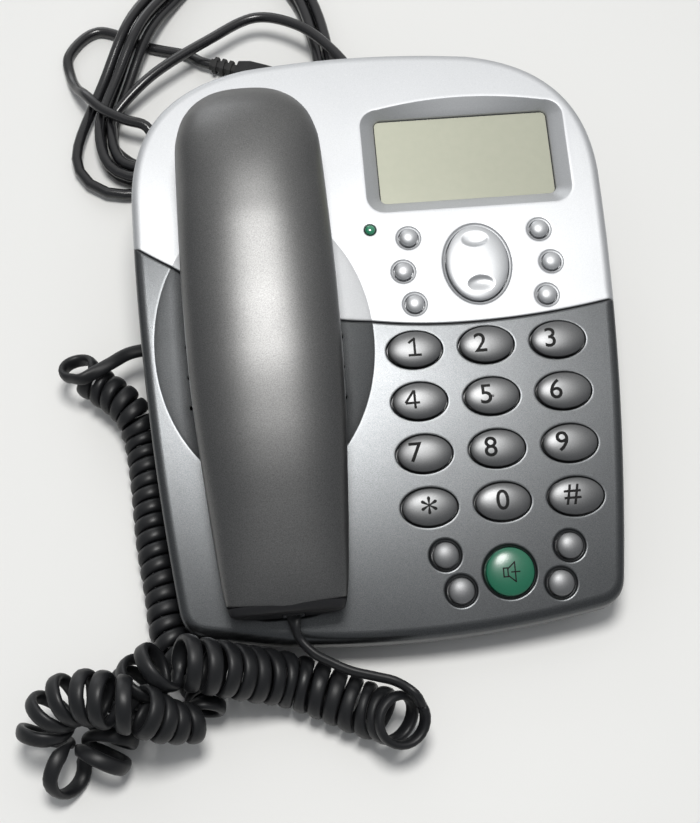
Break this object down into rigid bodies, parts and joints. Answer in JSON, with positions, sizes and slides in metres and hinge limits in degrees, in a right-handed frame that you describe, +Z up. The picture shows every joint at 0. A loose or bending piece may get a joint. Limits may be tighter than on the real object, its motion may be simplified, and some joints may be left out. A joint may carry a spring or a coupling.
{
  "type": "desk speakerphone",
  "caption": "Corded desk telephone with loudspeaker, tilted two-tone housing, keypad, display, handset on its cradle, curly cord and line cable.",
  "frame": {"origin": "centre of the housing's plan outline at the surface that it stands on, measured without the cords", "axes": "+X to the right of the person using it, +Y to the rear, +Z up"},
  "size_m": [0.2394, 0.3925, 0.093],
  "materials": {
    "silver": "silver metallic paint on moulded plastic",
    "grey": "dark metallic grey paint on moulded plastic",
    "dark": "fine-textured black moulded plastic",
    "button": "satin metallic grey plastic",
    "green": "satin green plastic",
    "lens": "clear window over a pale grey-green liquid crystal display",
    "board": "green solder mask",
    "rubber": "soft black rubber",
    "steel": "plain zinc-plated steel",
    "clear": "clear moulded plastic",
    "cord": "smooth black cord jacket"
  },
  "bodies": {
    "housing": {"base_tray": "dark", "lower_cover": "grey", "upper_cover": "silver", "display_lens": "lens", "display_module": "dark", "key_mat": "rubber", "main_board": "board", "lamp_lens": "green", "loudspeaker": "steel", "base_cord_plug": "clear", "base_socket": "dark", "cable_gland": "rubber", "handset_cord_lead": "cord", "handset_cord_curls": "cord", "handset_cord_tail": "cord", "cable_lead": "cord", "cable_hank": "cord", "cable_tail": "cord", "cable_relief": "rubber", "cable_plug": "dark", "foot_front_left": "rubber", "foot_front_right": "rubber", "foot_rear_left": "rubber", "foot_rear_right": "rubber", "housing_screw_front_left": "steel", "housing_screw_front_right": "steel", "housing_screw_rear_left": "steel", "housing_screw_rear_right": "steel"},
    "handset": {"handset_top_shell": "grey", "handset_bottom_shell": "dark", "earpiece_capsule": "steel", "microphone_capsule": "steel", "handset_weight": "steel", "handset_cord_plug": "clear", "handset_socket": "dark"},
    "hook_plunger": {"hook_plunger": "dark"},
    "rocker_key": {"rocker_key": "silver"},
    "key_1": {"key_1": "button"},
    "key_2": {"key_2": "button"},
    "key_3": {"key_3": "button"},
    "key_4": {"key_4": "button"},
    "key_5": {"key_5": "button"},
    "key_6": {"key_6": "button"},
    "key_7": {"key_7": "button"},
    "key_8": {"key_8": "button"},
    "key_9": {"key_9": "button"},
    "key_star": {"key_star": "button"},
    "key_0": {"key_0": "button"},
    "key_hash": {"key_hash": "button"},
    "silver_button_left_1": {"silver_button_left_1": "silver"},
    "silver_button_left_2": {"silver_button_left_2": "silver"},
    "silver_button_left_3": {"silver_button_left_3": "silver"},
    "silver_button_right_1": {"silver_button_right_1": "silver"},
    "silver_button_right_2": {"silver_button_right_2": "silver"},
    "silver_button_right_3": {"silver_button_right_3": "silver"},
    "function_button_left_1": {"function_button_left_1": "button"},
    "function_button_left_2": {"function_button_left_2": "button"},
    "function_button_right_1": {"function_button_right_1": "button"},
    "function_button_right_2": {"function_button_right_2": "button"},
    "speaker_key": {"speaker_key": "green"}
  },
  "joints": [
    {"name": "handset_lift", "type": "slide", "parent": "housing", "child": "handset", "axis": [0, -0.1987, 0.9801], "range_m": [0, 0.05]},
    {"name": "hook_plunger_rise", "type": "slide", "parent": "housing", "child": "hook_plunger", "axis": [0, -0.1366, 0.9906], "range_m": [0, 0.004]},
    {"name": "rocker_tilt", "type": "hinge", "parent": "housing", "child": "rocker_key", "pos_m": [0.03971, 0.02201, 0.04879], "axis": [1, 0, 0], "range_deg": [-3.5, 3.5], "stiffness_Nm_per_rad": 0.2},
    {"name": "key_1_press", "type": "slide", "parent": "housing", "child": "key_1", "axis": [0, 0.2022, -0.9794], "range_m": [0, 0.0015], "stiffness_N_per_m": 400, "springref_m": -0.0006},
    {"name": "key_2_press", "type": "slide", "parent": "housing", "child": "key_2", "axis": [0, 0.2022, -0.9794], "range_m": [0, 0.0015], "stiffness_N_per_m": 400, "springref_m": -0.0006},
    {"name": "key_3_press", "type": "slide", "parent": "housing", "child": "key_3", "axis": [0, 0.2022, -0.9794], "range_m": [0, 0.0015], "stiffness_N_per_m": 400, "springref_m": -0.0006},
    {"name": "key_4_press", "type": "slide", "parent": "housing", "child": "key_4", "axis": [0, 0.216, -0.9764], "range_m": [0, 0.0015], "stiffness_N_per_m": 400, "springref_m": -0.0006},
    {"name": "key_5_press", "type": "slide", "parent": "housing", "child": "key_5", "axis": [0, 0.216, -0.9764], "range_m": [0, 0.0015], "stiffness_N_per_m": 400, "springref_m": -0.0006},
    {"name": "key_6_press", "type": "slide", "parent": "housing", "child": "key_6", "axis": [0, 0.216, -0.9764], "range_m": [0, 0.0015], "stiffness_N_per_m": 400, "springref_m": -0.0006},
    {"name": "key_7_press", "type": "slide", "parent": "housing", "child": "key_7", "axis": [0, 0.2298, -0.9732], "range_m": [0, 0.0015], "stiffness_N_per_m": 400, "springref_m": -0.0006},
    {"name": "key_8_press", "type": "slide", "parent": "housing", "child": "key_8", "axis": [0, 0.2298, -0.9732], "range_m": [0, 0.0015], "stiffness_N_per_m": 400, "springref_m": -0.0006},
    {"name": "key_9_press", "type": "slide", "parent": "housing", "child": "key_9", "axis": [0, 0.2298, -0.9732], "range_m": [0, 0.0015], "stiffness_N_per_m": 400, "springref_m": -0.0006},
    {"name": "key_star_press", "type": "slide", "parent": "housing", "child": "key_star", "axis": [0, 0.2436, -0.9699], "range_m": [0, 0.0015], "stiffness_N_per_m": 400, "springref_m": -0.0006},
    {"name": "key_0_press", "type": "slide", "parent": "housing", "child": "key_0", "axis": [0, 0.2436, -0.9699], "range_m": [0, 0.0015], "stiffness_N_per_m": 400, "springref_m": -0.0006},
    {"name": "key_hash_press", "type": "slide", "parent": "housing", "child": "key_hash", "axis": [0, 0.2436, -0.9699], "range_m": [0, 0.0015], "stiffness_N_per_m": 400, "springref_m": -0.0006},
    {"name": "silver_button_left_1_press", "type": "slide", "parent": "housing", "child": "silver_button_left_1", "axis": [0, 0.1709, -0.9853], "range_m": [0, 0.0015], "stiffness_N_per_m": 400, "springref_m": -0.0006},
    {"name": "silver_button_left_2_press", "type": "slide", "parent": "housing", "child": "silver_button_left_2", "axis": [0, 0.1803, -0.9836], "range_m": [0, 0.0015], "stiffness_N_per_m": 400, "springref_m": -0.0006},
    {"name": "silver_button_left_3_press", "type": "slide", "parent": "housing", "child": "silver_button_left_3", "axis": [0, 0.1896, -0.9819], "range_m": [0, 0.0015], "stiffness_N_per_m": 400, "springref_m": -0.0006},
    {"name": "silver_button_right_1_press", "type": "slide", "parent": "housing", "child": "silver_button_right_1", "axis": [0, 0.1709, -0.9853], "range_m": [0, 0.0015], "stiffness_N_per_m": 400, "springref_m": -0.0006},
    {"name": "silver_button_right_2_press", "type": "slide", "parent": "housing", "child": "silver_button_right_2", "axis": [0, 0.1803, -0.9836], "range_m": [0, 0.0015], "stiffness_N_per_m": 400, "springref_m": -0.0006},
    {"name": "silver_button_right_3_press", "type": "slide", "parent": "housing", "child": "silver_button_right_3", "axis": [0, 0.1896, -0.9819], "range_m": [0, 0.0015], "stiffness_N_per_m": 400, "springref_m": -0.0006},
    {"name": "function_button_left_1_press", "type": "slide", "parent": "housing", "child": "function_button_left_1", "axis": [0, 0.2559, -0.9667], "range_m": [0, 0.0015], "stiffness_N_per_m": 400, "springref_m": -0.0006},
    {"name": "function_button_left_2_press", "type": "slide", "parent": "housing", "child": "function_button_left_2", "axis": [0, 0.265, -0.9642], "range_m": [0, 0.0015], "stiffness_N_per_m": 400, "springref_m": -0.0006},
    {"name": "function_button_right_1_press", "type": "slide", "parent": "housing", "child": "function_button_right_1", "axis": [0, 0.2559, -0.9667], "range_m": [0, 0.0015], "stiffness_N_per_m": 400, "springref_m": -0.0006},
    {"name": "function_button_right_2_press", "type": "slide", "parent": "housing", "child": "function_button_right_2", "axis": [0, 0.265, -0.9642], "range_m": [0, 0.0015], "stiffness_N_per_m": 400, "springref_m": -0.0006},
    {"name": "speaker_key_press", "type": "slide", "parent": "housing", "child": "speaker_key", "axis": [0, 0.2612, -0.9653], "range_m": [0, 0.0015], "stiffness_N_per_m": 400, "springref_m": -0.0006}
  ],
  "couplings": [
    {"joint": "hook_plunger_rise", "follows": "handset_lift", "ratio": 0.08}
  ]
}
